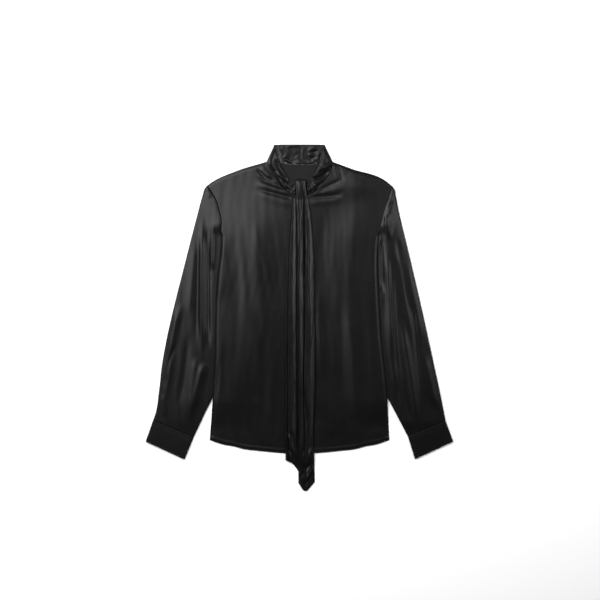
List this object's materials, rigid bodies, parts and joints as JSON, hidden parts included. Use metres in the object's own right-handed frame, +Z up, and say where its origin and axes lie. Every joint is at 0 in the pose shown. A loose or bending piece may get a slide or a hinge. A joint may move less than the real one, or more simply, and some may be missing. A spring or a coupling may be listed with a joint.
{
  "type": "tie neck blouse",
  "caption": "Long-sleeved satin blouse laid flat, front up, with a stand collar whose gathered ends cross at the throat and hang down the front as a pleated tie.",
  "frame": {"origin": "centre of the bounding box in plan, on the surface that the blouse lies on", "axes": "+Y towards the collar, +Z up from the surface, out of the front of the blouse; +X is the viewer's right, the wearer's left"},
  "size_m": [0.7208, 0.814, 0.0161],
  "materials": {
    "satin": "near-black charcoal satin with a soft silky sheen",
    "satin_pressed": "the same satin, doubled and pressed, with less sheen",
    "satin_reverse": "dull wrong side of the satin"
  },
  "bodies": {
    "root": {"back": "satin_reverse", "front_left": "satin", "front_right": "satin", "sleeve_left": "satin", "sleeve_right": "satin", "cuff_left": "satin_pressed", "cuff_right": "satin_pressed", "collar_back": "satin", "collar_front_left": "satin", "collar_front_right": "satin", "tie_knot": "satin", "tie_end_over": "satin", "tie_end_under": "satin"}
  },
  "joints": []
}
